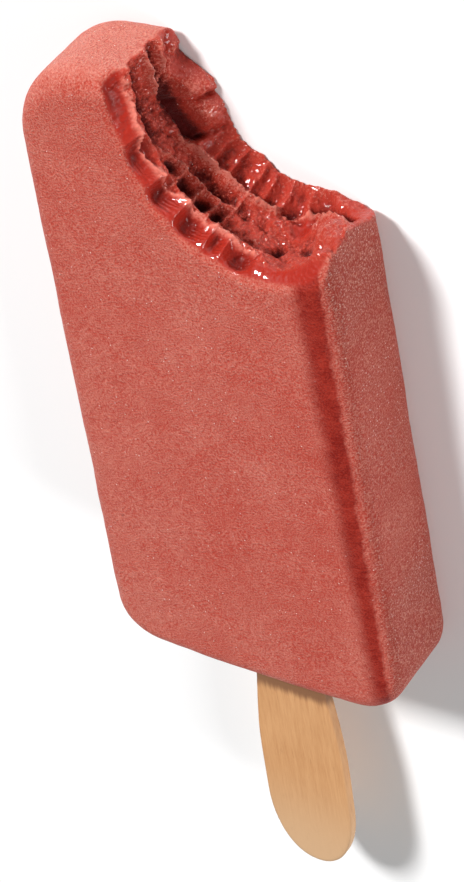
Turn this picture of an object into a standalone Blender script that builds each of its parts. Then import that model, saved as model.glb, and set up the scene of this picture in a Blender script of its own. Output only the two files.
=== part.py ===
"""A bitten sorbet ice pop on a wooden stick, lying on its flat back.

Frame: +Z up with the front face on top, +Y along the pop towards its bitten tip,
+X to the right as seen from the front.  The origin is under the middle of the
whole pop, on the surface that it lies on.  Sizes below are in millimetres.
"""
import math

import bpy
import numpy as np

MM = 0.001

# ---- the ice -------------------------------------------------------------
BAR_LENGTH = 119.5          # base to tip, along the middle
BASE_WIDTH = 56.2           # the mould widens towards the stick
TIP_WIDTH = 52.5
BASE_THICKNESS = 20.0
TIP_THICKNESS = 18.0
BASE_CORNER = 8.5           # corner radii seen from the front
TIP_CORNER = 13.5
BASE_CROWN = 1.0            # how far each end bulges in its middle
TIP_CROWN = 1.8
EDGE_RADIUS = 4.2           # rounding of the front and back edges
EDGE_SEGMENTS = 6
BAR_MIDDLE_Y = 26.44        # puts the middle of the whole pop at y = 0
CORNER_STEPS = 9
CROWN_STEPS = 6

# ---- the bite ------------------------------------------------------------
BITE_X = 15.0               # middle of the jaw arc, from the middle of the bar
BITE_Y = 49.5
BITE_RADIUS = 19.8          # arc of the teeth that came through the front
HOLLOW_DEPTH = 0.9          # the wall is this much deeper inside the front rim
BACK_RADIUS = 15.5          # arc at the back face, where the lower teeth bit less
BACK_END_RADIUS = 20.5      # and its radius up the left wall and at the right end
BACK_LEFT_STEP = (-5.0, 5.0)        # where the change of radius starts, and its length
BACK_RIGHT_STEP = (33.0, 12.0)
BACK_TONGUES = (5.0, 19.0)  # places where a tongue of ice is left standing
TONGUE_RISE = 0.8
TONGUE_HALF = 2.5
BACK_START = 8.0            # height at which the wall starts to lean inwards
SIDE_START = 30.0           # arc position where the floor starts to rise sideways
SIDE_RISE = 2.5
CAVITY_DEPTH = 2.0          # pit torn out where the left wall meets the floor
CAVITY_PLACE = (0.0, 8.5)   # along the arc, and height
CAVITY_SIZE = (5.0, 3.2)
WALL_RISE = 24.0            # straight left wall above the middle of the arc
ARC_END = 150.0             # degrees of arc, from the left wall round to the right
FRONT_START = -13.0         # where the first front tooth mark starts
FRONT_TEETH = (13.5, 8.0, 6.0, 6.0, 3.0, 6.0)       # widths of the marks in order
BACK_START_ALONG = -4.5
BACK_TEETH = (7.0, 7.0, 3.0, 3.5, 4.5, 2.5, 3.5, 4.5, 5.5)
FRONT_SCALLOP = 1.7         # depth of a front tooth mark of full width
BACK_SCALLOP = 1.6
TOOTH_WIDTH = 6.0
FRONT_MARK_LENGTH = 6.5     # how far the tooth marks reach in from each face
BACK_MARK_LENGTH = 4.6
FRONT_RIDGE = (12.0, 1.0, 0.9)      # height, raise and half width of a torn ridge
MIDDLE_RIDGE = (8.1, 0.7, 0.8)
BACK_RIDGE = (4.8, 1.2, 0.8)
WALL_GROOVE = 0.7           # grooves scraped down the left wall
WALL_GROOVE_PITCH = 3.3
BITE_STEP = 0.9             # spacing of the bite surface along the arc
SLICE_STEP = 0.6            # and through the thickness
CUT_MARGIN = 1.5            # the cutter passes the bar's faces by this much
CUT_REACH = 14.0

# ---- the stick -----------------------------------------------------------
STICK_LENGTH = 93.0
STICK_WIDTH = 17.0
STICK_NECK = 13.0           # the stick is slimmer where it enters the ice
STICK_THICKNESS = 2.1
STICK_OUT = 52.8            # length that sticks out of the ice
STICK_ROUND = 15.5          # length of the rounded end
STICK_ROUND_POWER = 2.15
STICK_NECK_RUN = 27.0       # over which the neck widens to the paddle
STICK_HEIGHT = 9.5          # middle of the stick where it leaves the ice
STICK_LEAN = 2.0            # degrees that the paddle lifts off the surface
STICK_SKEW = -0.5           # degrees that it turns aside
STICK_BEVEL = 0.35
STICK_ROUND_STEPS = 12
STICK_NECK_STEPS = 8
FIT_GAP = 0.3               # clearance between the stick and the ice


def clear_scene():
    for obj in list(bpy.data.objects):
        bpy.data.objects.remove(obj, do_unlink=True)


def make_material(name, color, roughness, metallic=0.0):
    material = bpy.data.materials.new(name)
    material.use_nodes = True
    shader = material.node_tree.nodes["Principled BSDF"]
    shader.inputs["Base Color"].default_value = (*color, 1.0)
    shader.inputs["Roughness"].default_value = roughness
    shader.inputs["Metallic"].default_value = metallic
    return material


def make_object(name, vertices, faces):
    """A mesh object from vertices in millimetres."""
    mesh = bpy.data.meshes.new(name)
    scaled = [tuple(MM * value for value in vertex) for vertex in vertices]
    mesh.from_pydata(scaled, [], faces)
    mesh.validate()
    obj = bpy.data.objects.new(name, mesh)
    bpy.context.scene.collection.objects.link(obj)
    return obj


def loft(slices):
    """Vertices and faces of a closed body through slices of equal point count."""
    count = len(slices[0])
    vertices = [tuple(point) for points in slices for point in points]
    faces = [tuple(reversed(range(count)))]
    for level in range(len(slices) - 1):
        low = level * count
        high = low + count
        for k in range(count):
            n = (k + 1) % count
            faces.append((low + k, low + n, high + n, high + k))
    top = (len(slices) - 1) * count
    faces.append(tuple(range(top, top + count)))
    return vertices, faces


def smooth_step(value):
    value = np.clip(value, 0.0, 1.0)
    return value * value * (3.0 - 2.0 * value)


# ---- the bar of ice -------------------------------------------------------
def end_outline(half_width, end_y, crown, radius):
    """One crowned end with two round corners, from +x round to -x, for a tip."""
    corner_x = half_width - radius
    corner_y = end_y - radius - crown * (corner_x / half_width) ** 2
    sweep = math.pi / 2 - math.atan(2 * crown * corner_x / half_width ** 2)
    points = []
    for k in range(CORNER_STEPS + 1):
        angle = sweep * k / CORNER_STEPS
        points.append((corner_x + radius * math.cos(angle), corner_y + radius * math.sin(angle)))
    for k in range(1, CROWN_STEPS):
        x = corner_x * (1 - 2 * k / CROWN_STEPS)
        points.append((x, end_y - crown * (x / half_width) ** 2))
    mirrored = [(-x, y) for x, y in points[:CORNER_STEPS + 1]]
    return points + mirrored[::-1]


def bar_outline():
    """Counter-clockwise outline of the bar, seen from the front."""
    half_length = BAR_LENGTH / 2
    tip = end_outline(TIP_WIDTH / 2, half_length, TIP_CROWN, TIP_CORNER)
    base = end_outline(BASE_WIDTH / 2, half_length, BASE_CROWN, BASE_CORNER)
    return tip + [(-x, -y) for x, y in base]


def thickness_at(y):
    share = y / BAR_LENGTH + 0.5
    return BASE_THICKNESS + (TIP_THICKNESS - BASE_THICKNESS) * share


def make_bar(material):
    outline = bar_outline()
    back = [(x, y, 0.0) for x, y in outline]
    front = [(x, y, thickness_at(y)) for x, y in outline]
    bar = make_object("ice", *loft([back, front]))
    bar.location = (0.0, BAR_MIDDLE_Y * MM, 0.0)
    bar.data.materials.append(material)
    rounding = bar.modifiers.new("rounded edges", "BEVEL")
    rounding.width = EDGE_RADIUS * MM
    rounding.segments = EDGE_SEGMENTS
    rounding.limit_method = "ANGLE"
    rounding.angle_limit = math.radians(50)
    return bar


# ---- the bite --------------------------------------------------------------
def scallops(along, start, teeth):
    """Rounded marks of neighbouring teeth: 0 at a gap between two, 1 mid-tooth."""
    gaps = start + np.concatenate([[0.0], np.cumsum(teeth)])
    index = np.clip(np.searchsorted(gaps, along), 1, len(gaps) - 1)
    start = gaps[index - 1]
    width = gaps[index] - start
    share = np.clip((along - start) / width, 0.0, 1.0)
    return 4.0 * share * (1.0 - share) * np.minimum(width / TOOTH_WIDTH, 1.0)


def ridge(height, shape):
    middle, raise_by, half_width = shape
    return raise_by * np.exp(-((height - middle) / half_width) ** 2)


def cavity(along, height):
    across = (along - CAVITY_PLACE[0]) / CAVITY_SIZE[0]
    up = (height - CAVITY_PLACE[1]) / CAVITY_SIZE[1]
    return CAVITY_DEPTH * np.exp(-across ** 2 - up ** 2)


def back_arc(along):
    """Radius of the smaller arc that the lower teeth left at the back face."""
    past_left = smooth_step((along - BACK_LEFT_STEP[0]) / BACK_LEFT_STEP[1])
    past_right = smooth_step((along - BACK_RIGHT_STEP[0]) / BACK_RIGHT_STEP[1])
    radius = BACK_END_RADIUS + (BACK_RADIUS - BACK_END_RADIUS) * (past_left - past_right)
    for place in BACK_TONGUES:
        radius = radius - TONGUE_RISE * np.exp(-((along - place) / TONGUE_HALF) ** 2)
    return radius


def bite_radius(along, height, front):
    """Distance of the bitten wall from the jaw arc's middle line.

    along runs down the left wall (negative) and round the arc (positive), height
    is above the back face, and front is the height of the front face.
    """
    depth = front - height
    to_side = smooth_step((along - SIDE_START) / 12.0)
    radius = BITE_RADIUS + HOLLOW_DEPTH * smooth_step(depth / 2.5)
    radius -= SIDE_RISE * to_side * smooth_step(depth / 3.0)
    lean = np.clip((BACK_START - height) / BACK_START, 0.0, 1.0)
    radius += (back_arc(along) - radius) * lean
    radius += cavity(along, height)
    front_zone = smooth_step(depth / 1.5) * smooth_step((FRONT_MARK_LENGTH - depth) / 2.0)
    radius += FRONT_SCALLOP * front_zone * scallops(along, FRONT_START, FRONT_TEETH)
    back_zone = smooth_step(height / 1.5) * smooth_step((BACK_MARK_LENGTH - height) / 1.6)
    radius += BACK_SCALLOP * back_zone * scallops(along, BACK_START_ALONG, BACK_TEETH)
    on_arc = smooth_step((along - 2.0) / 4.0) * (1.0 - to_side)
    for shape in (FRONT_RIDGE, MIDDLE_RIDGE, BACK_RIDGE):
        radius -= on_arc * ridge(height, shape)
    on_wall = smooth_step(-along / 3.0) * smooth_step(depth / 3.0) * smooth_step(height / 3.0)
    radius += WALL_GROOVE * on_wall * np.abs(np.sin(math.pi * height / WALL_GROOVE_PITCH))
    return radius


def bite_slice(height):
    """Closed outline of the bitten-off space at one height."""
    arc_length = math.radians(ARC_END) * BITE_RADIUS
    count = round((WALL_RISE + arc_length) / BITE_STEP)
    along = np.linspace(-WALL_RISE, arc_length, count + 1)
    front = thickness_at(BITE_Y)
    inside = min(max(height, 0.0), front)
    radius = bite_radius(along, inside, front)
    angle = math.pi + np.maximum(along, 0.0) / BITE_RADIUS
    x = BITE_X + radius * np.cos(angle)
    y = BITE_Y + radius * np.sin(angle) + np.maximum(-along, 0.0)
    right = BITE_X + BITE_RADIUS + CUT_REACH
    outer = [(right, y[-1]), (right, y[0])]
    return [(px, py, height) for px, py in list(zip(x, y)) + outer]


def make_bite_cutter(parent):
    top = thickness_at(0.0) + CUT_MARGIN
    count = round((top + CUT_MARGIN) / SLICE_STEP)
    heights = np.linspace(-CUT_MARGIN, top, count + 1)
    cutter = make_object("bite_cutter", *loft([bite_slice(h) for h in heights]))
    cutter.parent = parent
    return cutter


# ---- the stick -------------------------------------------------------------
def stick_half_width(along, gap):
    """Half width of the stick; along is 0 where it leaves the ice, negative outside."""
    widen = float(smooth_step(-along / STICK_NECK_RUN))
    half = STICK_NECK / 2 + (STICK_WIDTH - STICK_NECK) / 2 * widen
    return half + gap


def stick_outline(gap):
    """Counter-clockwise outline of the stick with both ends rounded."""
    outer = -STICK_OUT
    inner = STICK_LENGTH - STICK_OUT + gap
    inner_round = STICK_NECK / 2 + gap
    side = []
    for k in range(1, STICK_ROUND_STEPS):
        angle = math.pi / 2 * k / STICK_ROUND_STEPS
        shrink = math.sin(angle) ** (2 / STICK_ROUND_POWER)
        along = outer + STICK_ROUND * (1 - math.cos(angle) ** (2 / STICK_ROUND_POWER))
        side.append((stick_half_width(along, gap) * shrink, along))
    for k in range(STICK_NECK_STEPS + 1):
        along = (outer + STICK_ROUND) * (1 - k / STICK_NECK_STEPS)
        side.append((stick_half_width(along, gap), along))
    for k in range(STICK_ROUND_STEPS):
        angle = math.pi / 2 * k / STICK_ROUND_STEPS
        along = inner - inner_round * (1 - math.sin(angle))
        side.append((inner_round * math.cos(angle), along))
    left = [(-x, y) for x, y in reversed(side)]
    return [(0.0, outer)] + side + [(0.0, inner)] + left


def place_stick(obj):
    obj.location = (0.0, (BAR_MIDDLE_Y - BAR_LENGTH / 2) * MM, STICK_HEIGHT * MM)
    obj.rotation_euler = (math.radians(-STICK_LEAN), 0.0, math.radians(STICK_SKEW))


def make_stick_body(name, gap):
    half = STICK_THICKNESS / 2 + gap
    outline = stick_outline(gap)
    body = make_object(name, *loft([[(x, y, -half) for x, y in outline],
                                    [(x, y, half) for x, y in outline]]))
    place_stick(body)
    return body


def make_stick(material):
    stick = make_stick_body("stick", 0.0)
    stick.data.materials.append(material)
    edge = stick.modifiers.new("eased edges", "BEVEL")
    edge.width = STICK_BEVEL * MM
    edge.segments = 2
    edge.limit_method = "ANGLE"
    edge.angle_limit = math.radians(50)
    return stick


# ---- assembly --------------------------------------------------------------
def cut(target, cutter):
    cutter.hide_render = True
    cutter.display_type = "WIRE"
    boolean = target.modifiers.new(cutter.name, "BOOLEAN")
    boolean.operation = "DIFFERENCE"
    boolean.solver = "EXACT"
    boolean.object = cutter


def main():
    clear_scene()
    sorbet = make_material("sorbet", (0.50, 0.11, 0.08), 0.5)
    birch = make_material("birch", (0.62, 0.36, 0.18), 0.6)
    ice = make_bar(sorbet)
    cut(ice, make_bite_cutter(ice))
    make_stick(birch)
    cut(ice, make_stick_body("stick_pocket_cutter", FIT_GAP))


main()
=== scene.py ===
"""Looks of the bitten sorbet ice pop: frosted skin, torn wet bite and wooden stick.

All shaping is done in millimetres in the CAD frame: +Z out of the front face, +Y
towards the bitten tip, +X to the right seen from the front.
"""
import math

import bpy
import numpy as np
from mathutils import Euler, Matrix, Vector


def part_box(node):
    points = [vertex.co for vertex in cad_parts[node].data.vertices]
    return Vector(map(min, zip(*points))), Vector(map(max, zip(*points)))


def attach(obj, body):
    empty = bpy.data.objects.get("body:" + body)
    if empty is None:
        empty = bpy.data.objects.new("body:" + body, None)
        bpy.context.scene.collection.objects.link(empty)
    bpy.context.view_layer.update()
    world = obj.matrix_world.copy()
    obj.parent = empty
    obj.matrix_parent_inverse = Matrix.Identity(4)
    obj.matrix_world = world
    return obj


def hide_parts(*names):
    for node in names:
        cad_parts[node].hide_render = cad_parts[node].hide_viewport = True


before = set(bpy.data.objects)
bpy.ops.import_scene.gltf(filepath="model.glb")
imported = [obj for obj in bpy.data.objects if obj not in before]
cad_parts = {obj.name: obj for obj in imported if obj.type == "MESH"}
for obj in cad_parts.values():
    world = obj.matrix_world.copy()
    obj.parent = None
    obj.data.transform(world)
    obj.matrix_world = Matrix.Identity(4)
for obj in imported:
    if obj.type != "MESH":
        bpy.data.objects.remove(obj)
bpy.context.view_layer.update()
MM = 0.001

# ---- the bar ---------------------------------------------------------------
ICE_LOW, ICE_HIGH = [np.array(corner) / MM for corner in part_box("ice")]
BAR_LENGTH = 119.5
BAR_Y = ICE_LOW[1] + BAR_LENGTH / 2      # middle of the unbitten bar
BASE_WIDTH = ICE_HIGH[0] - ICE_LOW[0]
TIP_WIDTH = 52.5
BASE_THICKNESS = 20.0
TIP_THICKNESS = 18.0
BASE_CORNER = 8.5
TIP_CORNER = 13.5
BASE_CROWN = 1.0
TIP_CROWN = 1.8
EDGE_RADIUS = 4.2
SKIN_INSET = 0.13            # keeps the uneven skin inside the CAD box
SKIN_SWELL = 0.10
SKIN_FROST_RELIEF = 0.03

# ---- the bite: positions along the arc and heights above the back face ------
BITE_X = 15.0
BITE_Y = 49.5
BITE_RADIUS = 19.8
HOLLOW_DEPTH = 0.9
# the smaller arc at the back face: radius, radius at both its ends, and where each
# change of radius starts and how long it is
BACK_RADIUS = 15.5
BACK_END_RADIUS = 20.5
BACK_LEFT_STEP = (-5.0, 5.0)
BACK_RIGHT_STEP = (33.0, 12.0)
BACK_TONGUES = (5.0, 19.0)   # places where a tongue of ice is left standing
TONGUE_RISE = 0.8
TONGUE_HALF = 2.5
BACK_START = 8.0             # height at which the wall starts to lean inwards
SIDE_START = 30.0            # arc position where the floor starts to rise sideways
SIDE_RUN = 12.0
SIDE_RISE = 2.5
LIP_BACK = 0.45              # rounding of the bite's rim at the back and at the front
LIP_FRONT = 2.25
FRONT_START = -13.0          # where the first front tooth mark starts
FRONT_TEETH = (13.5, 8.0, 6.0, 6.0, 3.0, 6.0)   # widths of the marks in order
BACK_START_ALONG = 9.5
BACK_TEETH = (3.0, 3.5, 4.5, 2.5, 3.5, 4.5, 5.5)
FRONT_GAPS = FRONT_START + np.concatenate([[0.0], np.cumsum(FRONT_TEETH)])
BACK_GAPS = BACK_START_ALONG + np.concatenate([[0.0], np.cumsum(BACK_TEETH)])
FRONT_SCALLOP = 2.4
BACK_SCALLOP = 1.6
TOOTH_WIDTH = 5.0
SCALLOP_SKEW = 0.8           # below 1 the marks are deepest before their middle
SCALLOP_POWER = 1.2
FRONT_MARK_LENGTH = 4.8      # how far the tooth marks reach in from each face
BACK_MARK_LENGTH = 5.3
FIRST_GAP_SLANT = 0.46       # the first gap leans by this much about this height
FIRST_GAP_HEIGHT = 15.5
FIRST_GAP_REACH = 4.0
LIP_LENGTH = 2.6             # smooth wall just inside the front rim
LIP_END = 44.0               # up to here along the arc
PRESSED_LENGTH = 4.4         # and where the front teeth pressed it
PRESSED_END = 30.5
LOBES = (-5.0, 10.0)         # along the arc, where the back teeth left a shelf
LOBE_TOPS = (6.0, 3.5)       # height of the shelf at its two ends
LOBE_STEP = 1.0
# the front teeth left a slope that overhangs the rest of the wall
SLOPE_RIM = 0.1
SLOPE_RIM_LEFT = 1.5         # the same on the straight left part
SLOPE_IN = 2.2
SLOPE_IN_LEFT = 1.0
SLOPE_DEPTH = 4.3
OVERHANG_STEP = 1.5
SLOPE_END = 34.0             # the slope fades out before here along the arc
PAINTED_SHADE_SPOT = (0.5, 9.5, 0.55)         # painted shade at the deepest part of the wall: along, height and how dark
PAINTED_SHADE_SPOT_SIZE = (6.0, 3.5)
RELIEF_REACH = 2.0           # relief is painted dark or pale against its surroundings this far off: painted shade in hollows, paleness on rises
# painted shade under the overhang is measured against the wall's form averaged this far off
FORM_REACH = 2.4
# ribs stand across the wall between the front ridge and the middle one
RIBS = (8.0, 11.0, 15.0, 18.0, 20.5)
RIB_HEIGHTS = (8.5, 14.5)
RIB_RISE = 0.9
RIB_HALF = 0.3
CELL_DEPTH = 1.9             # hollow torn out between two ribs
CELL_HEIGHT = 10.5
CELL_HALF = 1.0
# torn ridges: (rise, half width, start, end, bow), bowed lines from one place to
# another, each place as (along, height)
RIDGES = (
    (1.3, 0.50, (-14.0, 14.5), (3.0, 15.5), -0.5),    # front ridge
    (1.3, 0.50, (3.0, 15.5), (28.0, 14.5), -0.5),
    (1.0, 0.35, (5.5, 11.5), (11.0, 9.0), -0.5),      # middle ridge
    (1.0, 0.35, (11.0, 9.0), (20.5, 8.0), 0.0),
    (1.1, 0.40, (20.5, 5.5), (20.5, 8.5), 0.0),
    (1.5, 0.45, (7.0, 6.5), (20.5, 5.5), -0.5),       # back ridge
    (1.5, 0.45, (20.5, 5.5), (33.0, 3.0), 0.5),
    (1.3, 0.50, (-14.0, 9.5), (-2.0, 8.5), 0.0),      # left wall
    (1.3, 0.45, (-14.0, 5.5), (-2.5, 6.5), -0.5),
    (0.8, 0.45, (-6.5, 2.0), (1.0, 5.0), 2.0),        # edge of the lobes
    (0.5, 0.25, (26.0, 15.0), (26.0, 9.0), 0.0),
    (1.0, 0.40, (34.0, 6.0), (46.0, 11.5), -3.0),     # right side
)
# long furrows: (depth, half width, start, end, bow)
FURROWS = (
    (1.8, 0.80, (-3.0, 6.5), (1.5, 5.5), 0.0),
    (0.8, 0.50, (1.5, 5.5), (8.5, 4.5), 0.0),
    (1.0, 0.50, (1.5, 5.0), (2.5, 1.0), 0.0),
    (1.0, 0.50, (8.5, 4.0), (9.5, 1.0), 0.0),
    (1.6, 1.40, (-14.0, 12.5), (3.0, 11.0), 0.5),
    (1.2, 0.80, (-14.0, 7.0), (-3.5, 7.0), 0.0),
    (0.8, 0.60, (-9.0, 3.0), (-5.5, 3.5), 0.0),
    (1.4, 0.70, (31.5, 2.5), (40.5, 5.0), -1.0),
    (0.9, 0.70, (33.5, 10.0), (35.5, 11.5), 0.0),
)
# rounded hollows and mounds: (deeper by, along, height, half length, half height, tilt)
HOLLOWS = (
    (1.2, 2.0, 9.0, 5.0, 3.0, -0.15),
    (-0.9, -1.0, 2.5, 2.5, 2.0, 0.0),
    (-0.8, 5.5, 2.5, 2.5, 1.5, 0.0),
    (0.8, 15.0, 7.0, 6.0, 1.0, 0.0),
    (1.4, 27.5, 4.5, 1.5, 1.0, -0.3),
    (1.2, 30.5, 5.0, 2.0, 2.0, 0.0),
    (1.7, 29.5, 11.0, 1.0, 1.5, 0.0),
    (-2.2, 39.5, 9.0, 4.5, 3.5, 0.5),
    (-0.6, 25.0, 9.5, 3.5, 2.5, 0.0),
)
# the teeth scraped fine steps across the later half of each front mark
STEP_SPACING = 0.5
STEP_SHARE = 0.5
STEP_HEIGHTS = (14.5, 18.5)
SCOOP_PLACE = (31.2, 5.4)    # smooth scoop: along and height
SCOOP_RADIUS = 2.2
CALM_END = -10.3             # the wall is calmer from here up to the tip
TORN_LARGE = 0.28            # roughness of the torn wall
TORN_FINE = 0.18
BOW_POINTS = 9
MAP_STEP = 0.1
MAP_ALONG = (-27.0, 58.0)
MAP_HEIGHT = (-3.0, 23.0)

# ---- the stick: lengths along it are 0 where it leaves the ice, negative outside --
STICK_WIDTH = 17.0
STICK_NECK = 13.0
STICK_NECK_RUN = 27.0
STICK_THICKNESS = 2.1
STICK_OUT = 52.8
STICK_IN = 40.2
STICK_ROUND = 15.5
STICK_ROUND_POWER = 2.15
STICK_HEIGHT = 9.5
STICK_LEAN = 2.0             # degrees
STICK_SKEW = -0.5            # degrees
STICK_EDGE = 0.4
STICK_POCKET = 0.12          # air between the stick and the ice
POCKET_EDGE = 0.3            # rounding of the ice round the stick

# ---- the band along the front right edge: frost rubbed off, and painted shade ---
BAND_ANGLE = 37.0            # degrees round the edge where the side frost starts
BAND_START_BASE = -4.5       # where the band starts, from the right side
BAND_START_TIP = -7.0
BAND_FADE = 3.4              # width over which its left side fades in

# ---- the drier part of the bite's rim ------------------------------------------
MATTE_END = 2.0              # up to here along the arc
MATTE_HEIGHT = 10.0          # and from this height up
MATTE_SHARE = 0.85           # how much of the wetness it loses

# ---- mesh ------------------------------------------------------------------
FINE_CELL = 0.19
COARSE_CELL = 0.7
FINE_X = (-11.0, 28.5)
FINE_Y = (27.0, 61.0)
NEAR = 1.5                   # only this close to the surface is its relief worked out
SHOWN_TRIANGLES = 195000
STICK_CELL = 0.35

# ---- colours (linear) --------------------------------------------------------
SKIN_RED = (0.45, 0.045, 0.026)
SKIN_FROST = (0.70, 0.275, 0.210)
# darkest red of the band: frost rubbed off, made darker still as painted shade
BAND_RED = (0.18, 0.006, 0.003)
BITE_RED = (0.52, 0.046, 0.025)
BITE_SMOOTH = (0.36, 0.020, 0.010)
# painted shade: the darkest flesh colour, laid into hollows, under the overhang and at the deepest
# part of the wall
BITE_SHADE = (0.085, 0.0015, 0.001)
# paler flesh for the crests: partly frosted crumbs, partly a painted highlight
BITE_FROST_AND_HIGHLIGHT = (0.68, 0.19, 0.14)
# colour of the frost specks on the skin and of the painted glints in the bite
FROST_SPECK_AND_GLINT = (0.92, 0.72, 0.68)
BEAD = (0.84, 0.47, 0.41)
WOOD_LIGHT = (0.61, 0.325, 0.145)
WOOD_DARK = (0.47, 0.22, 0.085)
WOOD_PALE = (0.59, 0.37, 0.205)
# darker brown for the band on the stick a short way out from the ice
WOOD_DARK_NEAR_ICE = (0.22, 0.10, 0.045)


# ---- small maths -----------------------------------------------------------
def smooth_step(value):
    value = np.clip(value, 0.0, 1.0)
    return value * value * (3.0 - 2.0 * value)


def round_max(a, b, radius):
    """The larger of two distances, with the corner between them rounded."""
    u = a + radius
    v = b + radius
    outside = np.hypot(np.maximum(u, 0.0), np.maximum(v, 0.0))
    return outside + np.minimum(np.maximum(u, v), 0.0) - radius


def lattice_noise(coords, cell, seed):
    """Smooth noise between -1 and 1 from a repeating lattice of random values."""
    size = 64
    count = len(coords)
    values = np.random.RandomState(seed).uniform(-1.0, 1.0, (size,) * count)
    floors = [np.floor(c / cell).astype(int) for c in coords]
    shares = [smooth_step(c / cell - f) for c, f in zip(coords, floors)]
    total = 0.0
    for corner in range(2 ** count):
        weight = 1.0
        index = []
        for axis in range(count):
            step = corner >> axis & 1
            weight = weight * (shares[axis] if step else 1.0 - shares[axis])
            index.append((floors[axis] + step) % size)
        total = total + weight * values[tuple(index)]
    return total


def rough_noise(coords, cell, octaves, seed):
    """Lattice noise with finer and weaker layers added to it."""
    total = 0.0
    strength = 1.0
    for octave in range(octaves):
        total = total + strength * lattice_noise(coords, cell, seed + octave)
        cell *= 0.5
        strength *= 0.55
    return total


# ---- the bitten wall as a map of (along, height) -----------------------------
def scallops(along, gaps):
    """Rounded marks of neighbouring teeth: 0 at a gap between two, 1 mid-tooth."""
    index = np.clip(np.searchsorted(gaps, along), 1, len(gaps) - 1)
    start = gaps[index - 1]
    width = gaps[index] - start
    share = np.clip((along - start) / width, 0.0, 1.0)
    profile = np.sin(math.pi * share ** SCALLOP_SKEW) ** SCALLOP_POWER
    return profile * np.minimum(width / TOOTH_WIDTH, 1.0)


def distance_to_path(x, y, path):
    """Distance to the nearest straight stretch of a path."""
    best = np.full(x.shape, 1e9)
    for (ax, ay), (bx, by) in zip(path[:-1], path[1:]):
        dx, dy = bx - ax, by - ay
        share = np.clip(((x - ax) * dx + (y - ay) * dy) / (dx * dx + dy * dy), 0.0, 1.0)
        best = np.minimum(best, np.hypot(x - ax - share * dx, y - ay - share * dy))
    return best


def thickness_at(y):
    """Height of the front face; y from the bar's middle."""
    share = y / BAR_LENGTH + 0.5
    return BASE_THICKNESS + (TIP_THICKNESS - BASE_THICKNESS) * share


def back_arc(along):
    """Radius of the smaller arc that the lower teeth left at the back face."""
    past_left = smooth_step((along - BACK_LEFT_STEP[0]) / BACK_LEFT_STEP[1])
    past_right = smooth_step((along - BACK_RIGHT_STEP[0]) / BACK_RIGHT_STEP[1])
    radius = BACK_END_RADIUS + (BACK_RADIUS - BACK_END_RADIUS) * (past_left - past_right)
    for place in BACK_TONGUES:
        radius = radius - TONGUE_RISE * np.exp(-((along - place) / TONGUE_HALF) ** 2)
    return radius


def wall_form(along, height):
    """Radius of the bitten wall without its tooth marks and torn relief."""
    depth = thickness_at(BITE_Y) - height
    to_side = smooth_step((along - SIDE_START) / SIDE_RUN)
    radius = BITE_RADIUS + HOLLOW_DEPTH * smooth_step((depth - 2.0) / 3.0)
    radius = radius - SIDE_RISE * to_side * smooth_step(depth / 3.0)
    from_left = smooth_step((along + 2.0) / 6.0)
    rim = SLOPE_RIM_LEFT + (SLOPE_RIM - SLOPE_RIM_LEFT) * from_left
    crest = -SLOPE_IN_LEFT - (SLOPE_IN - SLOPE_IN_LEFT) * from_left
    slope = rim + (crest - rim) * np.clip(depth / SLOPE_DEPTH, 0.0, 1.0)
    slope = slope * (1.0 - smooth_step((depth - SLOPE_DEPTH) / OVERHANG_STEP))
    radius = radius + slope * smooth_step((SLOPE_END - along) / 5.0)
    back = back_arc(along)
    lean = np.clip((BACK_START - height) / BACK_START, 0.0, 1.0)
    top = np.interp(along, LOBES, LOBE_TOPS)
    below = top - height
    shelf = 0.5 * smooth_step(below / LOBE_STEP) + 0.5 * np.clip(below / top, 0.0, 1.0)
    on_lobes = smooth_step((along - LOBES[0]) / 1.5) * smooth_step((LOBES[1] - along) / 3.0)
    lean = lean + (shelf - lean) * on_lobes
    return radius + (back - radius) * lean


def tooth_marks(along, height, warp):
    """Depth of the tooth marks, and where they have pressed the wall smooth."""
    depth = thickness_at(BITE_Y) - height
    near_first = np.exp(-((along - FRONT_GAPS[1]) / FIRST_GAP_REACH) ** 2)
    slant = FIRST_GAP_SLANT * (height - FIRST_GAP_HEIGHT) * near_first
    front_zone = 0.15 + 0.85 * smooth_step(depth / 2.0)
    front_zone = front_zone * smooth_step((FRONT_MARK_LENGTH - depth) / 1.6)
    front = front_zone * scallops(along - slant + 0.15 * warp, FRONT_GAPS)
    back_zone = smooth_step(height / 1.4) * smooth_step((BACK_MARK_LENGTH - height) / 1.0)
    back = back_zone * scallops(along + warp, BACK_GAPS)
    lip = smooth_step((LIP_LENGTH - depth) / 1.0) * smooth_step((LIP_END - along) / 3.0)
    pressed = smooth_step((PRESSED_LENGTH - depth) / 1.0) * smooth_step((PRESSED_END - along) / 2.0)
    smooth = np.maximum(np.maximum(pressed, lip), 0.4 * back_zone)
    return FRONT_SCALLOP * front + BACK_SCALLOP * back, smooth


def hollow_depth(along, height):
    """How much deeper the hollows and the cells between the ribs are."""
    total = 0.0
    for deeper, a, h, half_a, half_h, tilt in HOLLOWS:
        across = (along - a) / half_a
        upward = (height - h - tilt * (along - a)) / half_h
        total = total + deeper * np.exp(-(across ** 2 + upward ** 2) ** 1.5)
    for start, end in zip(RIBS[:-1], RIBS[1:]):
        across = (along - (start + end) / 2) / ((end - start) / 2 - RIB_HALF)
        upward = (height - CELL_HEIGHT) / CELL_HALF
        total = total + CELL_DEPTH * np.exp(-(across ** 2 + upward ** 2) ** 1.5)
    return total


def bowed_line(start, end, bow):
    """Points of a line from start to end whose middle is raised by bow."""
    shares = np.linspace(0.0, 1.0, BOW_POINTS)
    return [(start[0] + (end[0] - start[0]) * share,
             start[1] + (end[1] - start[1]) * share + 4 * bow * share * (1 - share))
            for share in shares]


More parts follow.
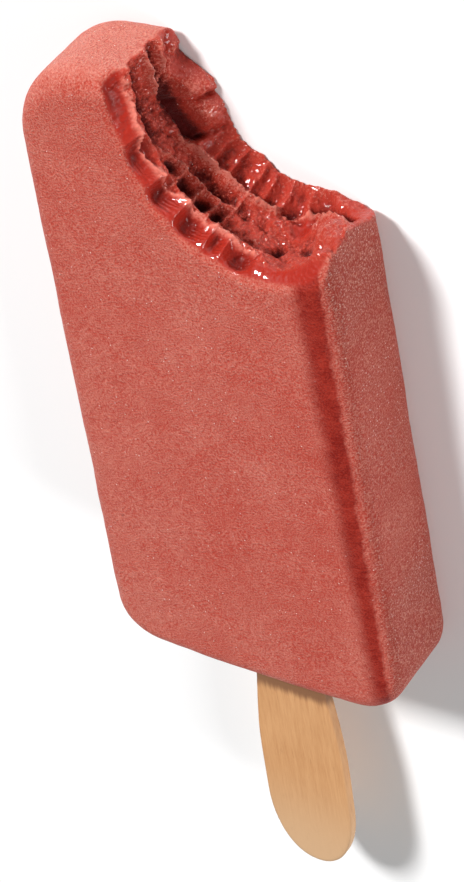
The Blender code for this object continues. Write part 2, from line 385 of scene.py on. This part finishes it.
def raised_height(along, height, ragged):
    """Height of the torn ridges and of the ribs across the wall."""
    raised = 0.0
    ribs = [(RIB_RISE, RIB_HALF, (place, RIB_HEIGHTS[0]), (place, RIB_HEIGHTS[1]), 0.0)
            for place in RIBS[1:]]
    for rise, half_width, start, end, bow in list(RIDGES) + ribs:
        path = bowed_line(start, end, bow)
        away = distance_to_path(along, height, path) / half_width
        raised = np.maximum(raised, rise * ragged * np.exp(-away ** 1.3))
    return raised


def furrow_depth(along, height):
    """Depth of the long furrows."""
    total = 0.0
    for deeper, half_width, start, end, bow in FURROWS:
        path = bowed_line(start, end, bow)
        away = distance_to_path(along, height, path) / half_width
        total = np.maximum(total, deeper * np.exp(-away ** 2))
    return total


def step_height(along, height, warp):
    """Fine steps scraped by the teeth."""
    total = 0.0
    low, high = STEP_HEIGHTS
    for before, end in zip(FRONT_GAPS[1:-1], FRONT_GAPS[2:]):
        start = end - STEP_SHARE * (end - before)
        zone = smooth_step((along - start) / 0.6) * smooth_step((end - along) / 0.6)
        zone = zone * smooth_step((height - low) / 0.5) * smooth_step((high - height) / 0.5)
        wave = 0.5 + 0.5 * np.sin(2 * math.pi * (height + 0.25 * warp) / STEP_SPACING)
        total = np.maximum(total, zone * wave)
    return total


def wall_relief(along, height):
    """How much deeper than its form the wall is, and its raised, smooth and stepped parts."""
    places = (along, height)
    warp = rough_noise(places, 2.0, 3, 11)
    warp_a = along + 0.3 * warp
    warp_h = height + 0.25 * rough_noise(places, 1.6, 3, 21)
    marks, smooth = tooth_marks(along, height, 0.3 * warp)
    across = (warp_a - SCOOP_PLACE[0]) / SCOOP_RADIUS
    upward = (warp_h - SCOOP_PLACE[1]) / SCOOP_RADIUS
    scoop = np.exp(-(across ** 2 + upward ** 2) ** 2)
    smooth = np.maximum(smooth, scoop)
    ragged = 0.9 + 0.25 * rough_noise(places, 0.7, 3, 31)
    raised = raised_height(warp_a, warp_h, ragged)
    to_tip = 0.2 + 0.8 * smooth_step((along - CALM_END) / 2.5)
    raised = raised * to_tip
    relief = marks + hollow_depth(warp_a, warp_h) - raised
    relief = relief + to_tip * furrow_depth(warp_a, warp_h)
    torn = TORN_LARGE * rough_noise(places, 1.5, 2, 41)
    torn = torn + TORN_FINE * rough_noise(places, 0.5, 2, 43)
    relief = relief + (1.0 - 0.85 * smooth) * torn
    steps = step_height(along, height, warp)
    return relief, raised, smooth, steps


def blurred(layer, reach):
    """A map averaged over a square of this many steps to each side, three times."""
    for axis in (0, 1) * 2:
        padded = np.pad(layer, [(reach + 1, reach) if n == axis else (0, 0) for n in (0, 1)],
                        mode="edge")
        total = np.cumsum(padded, axis=axis)
        ahead = np.take(total, range(2 * reach + 1, total.shape[axis]), axis=axis)
        behind = np.take(total, range(0, total.shape[axis] - 2 * reach - 1), axis=axis)
        layer = (ahead - behind) / (2 * reach + 1)
    return layer


class BiteMap:
    """The wall's radius and its relief, sampled from a fine regular map."""

    def __init__(self):
        self.along = np.arange(MAP_ALONG[0], MAP_ALONG[1], MAP_STEP)
        self.height = np.arange(MAP_HEIGHT[0], MAP_HEIGHT[1], MAP_STEP)
        grid = np.meshgrid(self.along, self.height, indexing="ij")
        inside = np.clip(grid[1], 0.0, thickness_at(BITE_Y))
        relief, raised, smooth, steps = wall_relief(grid[0], inside)
        form = wall_form(grid[0], inside)
        self.radius = form + relief
        self.raised = raised
        self.smooth = smooth
        self.steps = steps
        # painted shade: hollows of the relief, the wall under the overhang and the deepest part of
        # the wall are made darker in colour
        under = smooth_step(thickness_at(BITE_Y) - inside - SLOPE_DEPTH)
        self.painted_shade_depth = relief - blurred(relief, int(RELIEF_REACH / MAP_STEP))
        self.painted_shade_depth += under * (form - blurred(form, int(FORM_REACH / MAP_STEP)))
        deep_along, deep_height, shade = PAINTED_SHADE_SPOT
        self.painted_shade_depth += shade * np.exp(-((grid[0] - deep_along) / PAINTED_SHADE_SPOT_SIZE[0]) ** 2
                                      - ((inside - deep_height) / PAINTED_SHADE_SPOT_SIZE[1]) ** 2)

    def sample(self, layer, along, height):
        a = np.clip((along - MAP_ALONG[0]) / MAP_STEP, 0, len(self.along) - 1.001)
        h = np.clip((height - MAP_HEIGHT[0]) / MAP_STEP, 0, len(self.height) - 1.001)
        ia, ih = a.astype(int), h.astype(int)
        fa, fh = a - ia, h - ih
        low = layer[ia, ih] * (1 - fa) + layer[ia + 1, ih] * fa
        high = layer[ia, ih + 1] * (1 - fa) + layer[ia + 1, ih + 1] * fa
        return low * (1 - fh) + high * fh


def bite_place(x, y):
    """Position along the arc, and distance from the arc's middle line."""
    dx, dy = x - BITE_X, y - BITE_Y
    on_wall = (dy > 0) & (dx < 0)
    angle = np.mod(np.arctan2(dy, dx), 2 * math.pi)
    along = np.where(on_wall, -dy, (angle - math.pi) * BITE_RADIUS)
    along = np.where((dy > 0) & (dx >= 0), MAP_ALONG[1], along)
    radius = np.where(on_wall, -dx, np.hypot(dx, dy))
    radius = np.where((dy > 0) & (dx >= 0), 0.0, radius)
    return along, radius


# ---- distance fields ---------------------------------------------------------
def bar_distance(x, y, z):
    """Distance outside the unbitten bar, negative inside; y from the bar's middle."""
    share = y / BAR_LENGTH + 0.5
    half = (BASE_WIDTH + (TIP_WIDTH - BASE_WIDTH) * share) / 2
    to_side = np.abs(x) - half
    bulge = (x / half) ** 2
    to_tip = y - BAR_LENGTH / 2 + TIP_CROWN * bulge
    to_base = -y - BAR_LENGTH / 2 + BASE_CROWN * bulge
    plan = np.where(y > 0, round_max(to_side, to_tip, TIP_CORNER),
                    round_max(to_side, to_base, BASE_CORNER))
    faces = np.maximum(z - thickness_at(y), -z)
    return round_max(plan, faces, EDGE_RADIUS)


def bite_distance(bite, x, y, z):
    """Distance inside the bitten wall: above 0 where the ice has been bitten away."""
    along, radius = bite_place(x, y)
    return bite.sample(bite.radius, along, z) - radius


def stick_distance(x, y, z):
    """Distance outside the stick, negative inside, in the stick's own frame."""
    half = STICK_NECK / 2 + (STICK_WIDTH - STICK_NECK) / 2 * smooth_step(-y / STICK_NECK_RUN)
    wide = np.abs(x)
    outward = np.maximum(STICK_ROUND - STICK_OUT - y, 0.0) / STICK_ROUND
    power = STICK_ROUND_POWER
    outer = half * (((wide / half) ** power + outward ** power) ** (1 / power) - 1.0)
    inward = np.maximum(y - STICK_IN + STICK_NECK / 2, 0.0)
    inner = np.hypot(wide, inward) - half
    plan = np.where(y < 0, outer, inner)
    return round_max(plan, np.abs(z) - STICK_THICKNESS / 2, STICK_EDGE)


STICK_TURN = np.array(Euler((math.radians(-STICK_LEAN), 0.0,
                             math.radians(STICK_SKEW))).to_matrix())


def to_stick(x, y, z):
    """Bar positions in the stick's own frame."""
    shifted = (x, y + BAR_LENGTH / 2, z - STICK_HEIGHT)
    return [sum(STICK_TURN[row, col] * shifted[row] for row in range(3)) for col in range(3)]


def skin_relief(x, y, z):
    """Gentle unevenness of the moulded and frosted skin."""
    return (SKIN_SWELL * rough_noise((x, y, z), 9.0, 2, 51)
            + SKIN_FROST_RELIEF * rough_noise((x, y, z), 1.8, 2, 61))


def ice_distance(bite, x, y, z):
    """Distance outside the bitten ice with its stick pocket, negative inside."""
    bar = bar_distance(x, y, z) + SKIN_INSET
    near = np.abs(bar) < NEAR
    bar[near] += skin_relief(x[near], y[near], z[near])
    cut = bite_distance(bite, x, y, z)
    lip = LIP_BACK + (LIP_FRONT - LIP_BACK) * smooth_step((z - 12.0) / 5.0)
    whole = round_max(bar, cut, lip)
    pocket = (y < STICK_IN + 2 - BAR_LENGTH / 2) & (np.abs(x) < STICK_WIDTH / 2)
    air = stick_distance(*to_stick(x[pocket], y[pocket], z[pocket])) - STICK_POCKET
    whole[pocket] = round_max(whole[pocket], -air, POCKET_EDGE)
    return whole


# ---- meshing -----------------------------------------------------------------
CORNERS = [(i, j, k) for i in (0, 1) for j in (0, 1) for k in (0, 1)]
CELL_EDGES = [(a, b) for a in CORNERS for b in CORNERS
              if a < b and sum(p != q for p, q in zip(a, b)) == 1]


def graded_axis(low, high, fine_low, fine_high, coarse):
    """Grid positions from low to high, closely spaced between the two fine limits."""
    parts = []
    for start, end, step in ((low, fine_low, coarse), (fine_low, fine_high, FINE_CELL),
                             (fine_high, high, coarse)):
        count = max(int(math.ceil((end - start) / step)), 1)
        parts.append(np.linspace(start, end, count, endpoint=False))
    return np.concatenate(parts + [[high]])


def surface_nets(distance, axes):
    """Vertices and quads of the zero surface of a distance over a graded grid."""
    values = np.empty([len(axis) for axis in axes], dtype=np.float32)
    for i, x in enumerate(axes[0]):
        y, z = np.meshgrid(axes[1], axes[2], indexing="ij")
        values[i] = distance(np.full_like(y, x), y, z)
    inside = values < 0
    shape = tuple(n - 1 for n in values.shape)
    filled = np.zeros(shape, dtype=np.int8)
    for i, j, k in CORNERS:
        filled += inside[i:i + shape[0], j:j + shape[1], k:k + shape[2]]
    cells = np.argwhere((filled > 0) & (filled < 8))
    total = np.zeros((len(cells), 3))
    count = np.zeros(len(cells))
    for start, end in CELL_EDGES:
        first = values[tuple((cells + start).T)]
        second = values[tuple((cells + end).T)]
        crossed = (first < 0) != (second < 0)
        share = np.where(crossed, first / np.where(crossed, first - second, 1.0), 0.0)
        point = np.array(start) + share[:, None] * (np.array(end) - np.array(start))
        total += np.where(crossed[:, None], point, 0.0)
        count += crossed
    place = cells + total / count[:, None]
    vertices = np.stack([np.interp(place[:, n], np.arange(len(axes[n])), axes[n])
                         for n in range(3)], 1)
    number = np.full(shape, -1, dtype=np.int64)
    number[tuple(cells.T)] = np.arange(len(cells))
    quads = []
    for axis in range(3):
        ahead = [slice(None)] * 3
        ahead[axis] = slice(1, None)
        here = [slice(None)] * 3
        here[axis] = slice(None, -1)
        first, second = inside[tuple(here)], inside[tuple(ahead)]
        edges = np.argwhere(first != second)
        u, v = [n for n in range(3) if n != axis]
        ring = []
        for du, dv in ((1, 1), (0, 1), (0, 0), (1, 0)):
            around = edges.copy()
            around[:, u] -= du
            around[:, v] -= dv
            ring.append(number[tuple(around.T)])
        quad = np.stack(ring, 1)
        outward = first[tuple(edges.T)]
        flip = outward if axis == 1 else ~outward
        quad[flip] = quad[flip][:, ::-1]
        quads.append(quad)
    return vertices, np.concatenate(quads)


def project(points, distance, rounds):
    """Moves points onto the zero surface along its gradient."""
    step = 0.05
    flattest = 0.3
    furthest = 0.25
    for _ in range(rounds):
        value = distance(*points.T)
        gradient = np.zeros_like(points)
        for axis in range(3):
            shift = np.zeros(3)
            shift[axis] = step
            gradient[:, axis] = distance(*(points + shift).T) - distance(*(points - shift).T)
        gradient /= 2 * step
        square = np.maximum((gradient ** 2).sum(1), flattest)
        move = np.clip(value / square, -furthest, furthest)
        points = points - move[:, None] * gradient
    return points


def mesh_object(name, vertices, faces):
    """A mesh object from vertices in millimetres and faces of equal corner count."""
    sides = faces.shape[1]
    mesh = bpy.data.meshes.new(name)
    mesh.vertices.add(len(vertices))
    mesh.vertices.foreach_set("co", (np.asarray(vertices) * MM).astype(np.float32).ravel())
    mesh.loops.add(faces.size)
    mesh.loops.foreach_set("vertex_index", faces.astype(np.int32).ravel())
    mesh.polygons.add(len(faces))
    mesh.polygons.foreach_set("loop_start", np.arange(0, faces.size, sides, dtype=np.int32))
    mesh.update(calc_edges=True)
    mesh.shade_smooth()
    obj = bpy.data.objects.new(name, mesh)
    bpy.context.scene.collection.objects.link(obj)
    return obj


def thin_out(obj, triangles, keep):
    """Collapses a quad mesh to fewer triangles, least where keep is near 1."""
    group = obj.vertex_groups.new(name="keep")
    for level in range(1, 11):
        chosen = np.flatnonzero(np.round(keep * 10) == level)
        group.add(chosen.tolist(), level / 10, "REPLACE")
    modifier = obj.modifiers.new("thin out", "DECIMATE")
    modifier.ratio = min(1.0, triangles / (2 * len(obj.data.polygons)))
    modifier.vertex_group = "keep"
    modifier.invert_vertex_group = True
    modifier.vertex_group_factor = 1.0
    graph = bpy.context.evaluated_depsgraph_get()
    mesh = bpy.data.meshes.new_from_object(obj.evaluated_get(graph))
    obj.modifiers.clear()
    obj.vertex_groups.clear()
    obj.data = mesh
    mesh.shade_smooth()


def positions(obj):
    flat = np.empty(3 * len(obj.data.vertices), dtype=np.float32)
    obj.data.vertices.foreach_get("co", flat)
    return flat.reshape(-1, 3).astype(float) / MM


def normals(obj):
    flat = np.empty(3 * len(obj.data.vertices), dtype=np.float32)
    obj.data.vertex_normals.foreach_get("vector", flat)
    return flat.reshape(-1, 3).astype(float)


def add_attribute(obj, name, values):
    layer = obj.data.attributes.new(name, "FLOAT", "POINT")
    layer.data.foreach_set("value", np.asarray(values, dtype=np.float32))


# ---- masks over the skin -------------------------------------------------------
def band_mask(x, y, z):
    """1 on the band of the front right edge, where the frosted skin is rubbed off and painted shade
    darkens it.
    """
    share = y / BAR_LENGTH + 0.5
    half = (BASE_WIDTH + (TIP_WIDTH - BASE_WIDTH) * share) / 2
    waver = rough_noise((y, z * 0), 3.0, 3, 71)
    start = BAND_START_BASE + (BAND_START_TIP - BAND_START_BASE) * share
    from_start = x - half - start + 0.15 * waver
    across = x - half + EDGE_RADIUS
    down = z - thickness_at(y) + EDGE_RADIUS
    angle = np.degrees(np.arctan2(across, down))
    end = smooth_step((BAND_ANGLE + 1.5 * waver - angle) / 5.0 + 0.5)
    return smooth_step(from_start / BAND_FADE + 0.45) * end * (down > 0)


def frost_and_facing_light_mask(x, y, z, normal):
    """How frosted the skin is, with light painted in by the way each face turns."""
    # faces turned to the tip, and the rounded edge between tip and front, are paler: partly frost,
    # partly painted light
    tip_side = smooth_step((normal[:, 1] - 0.55) / 0.4)
    tip_edge = smooth_step((normal[:, 1] - 0.15) / 0.3) * (1.0 - tip_side)
    tip_edge = tip_edge * smooth_step((normal[:, 2] - 0.3) / 0.3)
    # the right side gets less frost, more so towards the tip: painted shade
    right = smooth_step((normal[:, 0] - 0.6) / 0.3)
    # a painted sheen: paler low along the back edge on faces turned right
    painted_edge_sheen = smooth_step((normal[:, 0] - 0.1) / 0.3) * smooth_step((2.6 - z) / 2.0)
    upper = smooth_step((y - 10.0) / 30.0)
    # paler on the left of the lower half of the bar
    left = smooth_step((-x - 5.0) / 15.0) * smooth_step((35.0 - y) / 20.0)
    return (0.23 + 0.22 * tip_side + 0.05 * tip_edge - (0.03 + 0.10 * upper) * right
            + 0.15 * painted_edge_sheen + 0.06 * left)


def matte_lip(along, z):
    """Where the rim of the bite is drier: its left part, near the front."""
    return smooth_step((MATTE_END - along) / 3.0) * smooth_step((z - MATTE_HEIGHT) / 3.0)


# ---- pieces --------------------------------------------------------------------
def make_ice(material):
    bite = BiteMap()

    def distance(x, y, z):
        return ice_distance(bite, x, y - BAR_Y, z)

    low = ICE_LOW - 2 * COARSE_CELL
    high = ICE_HIGH + 2 * COARSE_CELL
    axes = (graded_axis(low[0], high[0], *FINE_X, COARSE_CELL),
            graded_axis(low[1], high[1], FINE_Y[0] + BAR_Y, FINE_Y[1] + BAR_Y, COARSE_CELL),
            graded_axis(low[2], high[2], 0.0, ICE_HIGH[2], FINE_CELL))
    vertices, quads = surface_nets(distance, axes)
    vertices = project(vertices, distance, 2)
    ice = mesh_object("ice_body", vertices, quads)
    x, y, z = vertices.T
    into = bite_distance(bite, x, y - BAR_Y, z) - bar_distance(x, y - BAR_Y, z)
    thin_out(ice, SHOWN_TRIANGLES, 0.25 + 0.75 * smooth_step((into + 3.0) / 2.0))
    ice.data.materials.clear()
    ice.data.materials.append(material)
    x, y, z = positions(ice).T
    y = y - BAR_Y
    along, _ = bite_place(x, y)
    into = bite_distance(bite, x, y, z) - bar_distance(x, y, z)
    add_attribute(ice, "bitten", smooth_step((into + 0.7) / 1.2))
    add_attribute(ice, "raised", bite.sample(bite.raised, along, z))
    add_attribute(ice, "painted_shade_depth", bite.sample(bite.painted_shade_depth, along, z))
    add_attribute(ice, "smooth", bite.sample(bite.smooth, along, z))
    add_attribute(ice, "steps", bite.sample(bite.steps, along, z))
    add_attribute(ice, "matte", matte_lip(along, z))
    add_attribute(ice, "band", band_mask(x, y, z))
    facing = normals(ice)
    add_attribute(ice, "frost_and_facing_light", frost_and_facing_light_mask(x, y, z, facing))
    rough = 0.45 + 0.55 * smooth_step((y - 5.0) / 30.0) + 0.35 * smooth_step((-25.0 - y) / 15.0)
    add_attribute(ice, "side", rough * smooth_step((facing[:, 0] - 0.6) / 0.3))
    return ice


def make_stick(material):
    def distance(x, y, z):
        return stick_distance(*to_stick(x, y - BAR_Y, z))

    low, high = [np.array(corner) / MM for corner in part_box("stick")]
    axes = [np.arange(low[n] - 1.5 * STICK_CELL, high[n] + 2 * STICK_CELL, STICK_CELL)
            for n in range(3)]
    vertices, quads = surface_nets(distance, axes)
    vertices = project(vertices, distance, 2)
    stick = mesh_object("wooden_stick", vertices, quads)
    stick.data.materials.append(material)
    _, along, _ = to_stick(vertices[:, 0], vertices[:, 1] - BAR_Y, vertices[:, 2])
    add_attribute(stick, "along", along)
    return stick


# ---- node helpers --------------------------------------------------------------
class Recipe:
    """Short calls for the nodes of one material; lengths are in millimetres."""

    def __init__(self, name):
        self.material = bpy.data.materials.new(name)
        self.material.use_nodes = True
        self.tree = self.material.node_tree
        self.shader = self.tree.nodes["Principled BSDF"]
        place = self.node("ShaderNodeTexCoord").outputs["Object"]
        self.place = self.stretch(place, (1 / MM, 1 / MM, 1 / MM))

    def node(self, kind, **settings):
        made = self.tree.nodes.new(kind)
        for key, value in settings.items():
            setattr(made, key, value)
        return made

    def put(self, socket, value):
        if isinstance(value, bpy.types.NodeSocket):
            self.tree.links.new(value, socket)
        elif isinstance(value, tuple) and len(socket.default_value) == 4:
            socket.default_value = value + (1.0,)
        else:
            socket.default_value = value

    def set(self, **values):
        for key, value in values.items():
            self.put(self.shader.inputs[key.replace("_", " ")], value)

    def stretch(self, vector, factors):
        made = self.node("ShaderNodeVectorMath", operation="MULTIPLY")
        self.put(made.inputs[0], vector)
        self.put(made.inputs[1], factors)
        return made.outputs[0]

    def shift(self, vector, other):
        made = self.node("ShaderNodeVectorMath", operation="ADD")
        self.put(made.inputs[0], vector)
        self.put(made.inputs[1], other)
        return made.outputs[0]

    def math(self, operation, a, b=0.0, clamp=False):
        made = self.node("ShaderNodeMath", operation=operation, use_clamp=clamp)
        self.put(made.inputs[0], a)
        self.put(made.inputs[1], b)
        return made.outputs[0]

    def sum(self, *terms):
        """The sum of terms, each a socket, a number or a (socket, factor) pair."""
        total = 0.0
        for term in terms:
            if isinstance(term, tuple):
                term = self.math("MULTIPLY", *term)
            total = self.math("ADD", term, total)
        return total

    def times(self, *terms):
        total = terms[0]
        for term in terms[1:]:
            total = self.math("MULTIPLY", total, term)
        return total

    def step(self, value, low, high):
        made = self.node("ShaderNodeMapRange", interpolation_type="SMOOTHSTEP")
        self.put(made.inputs["Value"], value)
        self.put(made.inputs["From Min"], low)
        self.put(made.inputs["From Max"], high)
        return made.outputs[0]

    def mix(self, share, a, b):
        made = self.node("ShaderNodeMix", data_type="RGBA")
        self.put(made.inputs[0], share)
        self.put(made.inputs[6], a)
        self.put(made.inputs[7], b)
        return made.outputs[2]

    def attribute(self, name):
        return self.node("ShaderNodeAttribute", attribute_name=name).outputs["Fac"]

    def noise(self, size, detail=2.0, roughness=0.5, place=None):
        """Noise with features of about this size, centred on 0."""
        made = self.node("ShaderNodeTexNoise")
        self.put(made.inputs["Vector"], place or self.place)
        self.put(made.inputs["Scale"], 1.0 / size)
        self.put(made.inputs["Detail"], detail)
        self.put(made.inputs["Roughness"], roughness)
        return self.math("SUBTRACT", made.outputs[0], 0.5)

    def cells(self, size, feature="F1", place=None):
        made = self.node("ShaderNodeTexVoronoi", feature=feature)
        self.put(made.inputs["Vector"], place or self.place)
        self.put(made.inputs["Scale"], 1.0 / size)
        return made

    def warped(self, size, amount):
        """The place, pushed about by coloured noise."""
        made = self.node("ShaderNodeTexNoise")
        self.put(made.inputs["Vector"], self.place)
        self.put(made.inputs["Scale"], 1.0 / size)
        return self.shift(self.place, self.stretch(made.outputs["Color"], (amount,) * 3))

    def bump(self, height):
        """Relief from a height in millimetres."""
        made = self.node("ShaderNodeBump")
        self.put(made.inputs["Height"], height)
        self.put(made.inputs["Strength"], 1.0)
        self.put(made.inputs["Distance"], MM)
        self.put(self.shader.inputs["Normal"], made.outputs[0])

    def specks(self, size, radius, share):
        """Small dots, one in some of the cells of a random pattern."""
        cells = self.cells(size)
        dot = self.step(cells.outputs["Distance"], radius, radius * 0.5)
        chance = self.node("ShaderNodeSeparateColor")
        self.put(chance.inputs[0], cells.outputs["Color"])
        chosen = self.math("LESS_THAN", chance.outputs[0], share)
        return self.math("MULTIPLY", dot, chosen)


def make_sorbet():
    r = Recipe("sorbet")
    bitten = r.attribute("bitten")
    band = r.attribute("band")
    frost_and_facing_light = r.attribute("frost_and_facing_light")
    raised = r.attribute("raised")
    painted_shade_depth = r.attribute("painted_shade_depth")
    smooth = r.attribute("smooth")
    side = r.attribute("side")
    steps = r.attribute("steps")
    matte = r.attribute("matte")
    torn = r.math("SUBTRACT", 1.0, smooth)
    whole = r.math("SUBTRACT", 1.0, bitten)
    off_band = r.math("SUBTRACT", 1.0, band)
    large = r.noise(13.0, 3.0)
    middle = r.noise(2.2, 3.0)
    grain = r.noise(0.3, 2.0, 0.6)
    threads = r.cells(0.75, "DISTANCE_TO_EDGE", r.warped(0.6, 0.6)).outputs["Distance"]
    thread = r.step(threads, 0.10, 0.0)
    coarse = r.times(grain, side)
    # the frost mask brings frost and the painted light by facing into the skin colour
    cover = r.sum(frost_and_facing_light, (large, 0.45), (middle, 0.35), (grain, 1.9), (coarse, 3.2),
                  (thread, 0.12))
    skin = r.mix(r.math("ADD", cover, 0.0, clamp=True), SKIN_RED, SKIN_FROST)
    hatch = r.noise(0.6, 2.0, 0.6, r.stretch(r.place, (0.3, 1.6, 0.3)))
    # the band's colour: frost rubbed off, darkened towards BAND_RED as painted shade
    worn_and_shaded = r.sum(0.3, (grain, 1.4), (middle, 0.9), (hatch, 0.6))
    worn_and_shaded = r.mix(r.math("ADD", worn_and_shaded, 0.0, clamp=True), BAND_RED, SKIN_RED)
    skin = r.mix(band, skin, worn_and_shaded)
    clusters = r.noise(6.0)
    density = r.sum(0.05, (clusters, 0.3), (side, 0.1))
    speck = r.times(r.specks(0.55, 0.24, density), off_band)
    beads = r.times(r.specks(0.5, 0.36, r.sum(0.42, (clusters, 1.2))), side, off_band)
    skin = r.mix(r.times(beads, 0.85), skin, BEAD)
    skin = r.mix(speck, skin, FROST_SPECK_AND_GLINT)
    crumbs = r.noise(0.42, 4.0, 0.8)
    melt = r.times(r.noise(0.9, 1.0, 0.5, r.stretch(r.place, (1.0, 1.0, 0.5))), smooth)
    crumb = r.times(crumbs, r.sum(0.12, (torn, 0.88)))
    # painted shade: the flesh darkens towards BITE_SHADE in hollows, under the overhang and at the
    # deepest part of the wall
    hollow = r.times(painted_shade_depth, r.sum(0.6, (torn, 0.45)))
    shade = r.step(r.sum(hollow, (crumb, -2.6)), 0.05, 1.3)
    flesh = r.mix(shade, r.mix(smooth, BITE_RED, BITE_SMOOTH), BITE_SHADE)
    # pale crests: partly frosted crumbs, partly a painted highlight, held back where the painted
    # shade lies
    crest = r.sum((raised, 0.65), (crumb, 6.0), (painted_shade_depth, -0.3))
    crest_frost_and_highlight = r.times(r.step(crest, 0.1, 1.0), r.sum(1.0, (shade, -0.8)))
    flesh = r.mix(crest_frost_and_highlight, flesh, BITE_FROST_AND_HIGHLIGHT)
    # painted glints: small pale dots in the flesh
    painted_glints = r.times(r.specks(0.45, 0.26, 0.04), r.sum(0.25, (torn, 0.75)))
    flesh = r.mix(painted_glints, flesh, FROST_SPECK_AND_GLINT)
    r.set(Base_Color=r.mix(bitten, skin, flesh))
    r.set(Roughness=r.sum(0.55, (band, -0.10), (bitten, -0.15)))
    wet = r.times(bitten, r.math("SUBTRACT", 1.0, shade), r.sum(1.0, (matte, -MATTE_SHARE)))
    r.set(Coat_Weight=r.sum((wet, 0.35), (r.times(wet, smooth), 0.25)))
    r.set(Coat_Roughness=0.06, Specular_IOR_Level=0.12)
    r.set(Subsurface_Weight=0.2, Subsurface_Scale=1.5 * MM)
    r.set(Subsurface_Radius=(1.0, 0.25, 0.15))
    r.set(Sheen_Weight=0.06, Sheen_Roughness=0.45, Sheen_Tint=(1.0, 0.85, 0.82))
    frosty = r.sum((grain, 0.45), (speck, 0.12), (coarse, 0.8), (beads, 0.45))
    frosty = r.times(frosty, r.math("SUBTRACT", 1.0, r.times(band, 0.6)))
    broken = r.sum((crumb, 0.5), (grain, 0.04), (steps, 0.12), (painted_glints, 0.1), (melt, 0.35))
    r.bump(r.sum(r.times(whole, frosty), r.times(bitten, broken)))
    return r.material


def make_wood():
    r = Recipe("stick_wood")
    along = r.attribute("along")
    streaks = r.noise(0.5, 3.0, 0.6, r.stretch(r.place, (1.0, 0.04, 0.5)))
    fine = r.noise(0.18, 2.0, 0.5, r.stretch(r.place, (1.0, 0.06, 0.5)))
    flecks = r.noise(0.35, 2.0, 0.5, r.stretch(r.place, (1.0, 0.12, 1.0)))
    fleck = r.step(flecks, 0.16, 0.26)
    blotch = r.noise(9.0, 2.0)
    tone = r.sum(0.35, (streaks, 1.3), (fine, 0.9), (blotch, 0.5), (fleck, 0.35))
    wood = r.mix(r.math("ADD", tone, 0.0, clamp=True), WOOD_LIGHT, WOOD_DARK)
    wood = r.mix(r.step(along, -28.0, -52.0), wood, WOOD_PALE)
    # a darker brown band on the stick a short way out from the ice
    wet = r.step(r.sum(along, (blotch, 2.0), (streaks, 2.0)), -12.2, -9.8)
    r.set(Base_Color=r.mix(wet, wood, WOOD_DARK_NEAR_ICE))
    r.set(Roughness=0.6)
    r.bump(r.sum((streaks, 0.05), (fine, 0.04), (fleck, -0.03)))
    return r.material


# ---- stage -----------------------------------------------------------------------
FLOOR_HALF = 3000.0
FLOOR_PALE = (0.93, 0.93, 0.93)
LIGHT_AIM = (0.0, 25.0, 10.0)
# soft lights: name, place, size and power in watts
LIGHTS = (("key", (-640, 1400, 1310), 400, 51.0),
          ("side", (1300, -200, 600), 500, 11.5))
WORLD_STRENGTH = 0.20


def make_floor():
    half = FLOOR_HALF
    corners = np.array([(-half, -half, 0), (half, -half, 0), (half, half, 0), (-half, half, 0)])
    floor = mesh_object("floor", corners, np.array([[0, 1, 2, 3]]))
    r = Recipe("floor_pale")
    r.set(Base_Color=FLOOR_PALE, Roughness=0.9)
    floor.data.materials.append(r.material)


def area_light(name, place, size, power):
    light = bpy.data.lights.new(name, "AREA")
    light.size = size * MM
    light.energy = power
    lamp = bpy.data.objects.new(name, light)
    bpy.context.scene.collection.objects.link(lamp)
    lamp.location = Vector(place) * MM
    lamp.rotation_euler = (Vector(LIGHT_AIM) - Vector(place)).to_track_quat("-Z", "Y").to_euler()


def make_lights():
    for light in LIGHTS:
        area_light(*light)
    world = bpy.data.worlds.new("studio")
    bpy.context.scene.world = world
    world.use_nodes = True
    background = world.node_tree.nodes["Background"]
    background.inputs["Color"].default_value = (1, 1, 1, 1)
    background.inputs["Strength"].default_value = WORLD_STRENGTH


# ---- camera ----------------------------------------------------------------------
CAMERA_YAW = 39.05          # degrees round the pop's length, from square on to the front
CAMERA_PITCH = 40.04        # degrees towards the tip
CAMERA_ROLL = -11.3
CAMERA_DISTANCE = 485.4
CAMERA_OFFSET = (-5.4, -16.4)    # sideways and upwards from the bar's middle
CAMERA_LENS = 124.7


def make_camera():
    yaw, pitch, roll = [math.radians(a) for a in (CAMERA_YAW, CAMERA_PITCH, CAMERA_ROLL)]
    back = Vector((math.sin(yaw) * math.cos(pitch), math.sin(pitch),
                   math.cos(yaw) * math.cos(pitch)))
    right = Vector((0, 1, 0)).cross(back).normalized()
    up = back.cross(right)
    right, up = (right * math.cos(roll) + up * math.sin(roll),
                 up * math.cos(roll) - right * math.sin(roll))
    place = (Vector((0, BAR_Y, 0)) + back * CAMERA_DISTANCE
             + right * CAMERA_OFFSET[0] + up * CAMERA_OFFSET[1])
    data = bpy.data.cameras.new("camera")
    data.lens = CAMERA_LENS
    data.sensor_width = 36.0
    data.clip_start = 0.01
    camera = bpy.data.objects.new("camera", data)
    bpy.context.scene.collection.objects.link(camera)
    turn = Matrix((right, up, back)).transposed().to_4x4()
    camera.matrix_world = Matrix.Translation(place * MM) @ turn
    bpy.context.scene.camera = camera


def main():
    bpy.context.scene.view_settings.view_transform = "Standard"
    make_camera()
    make_lights()
    make_floor()
    ice = make_ice(make_sorbet())
    stick = make_stick(make_wood())
    for piece, node, slot in ((ice, "ice", "sorbet"), (stick, "stick", "stick_wood")):
        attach(piece, "root")
        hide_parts(node)


main()
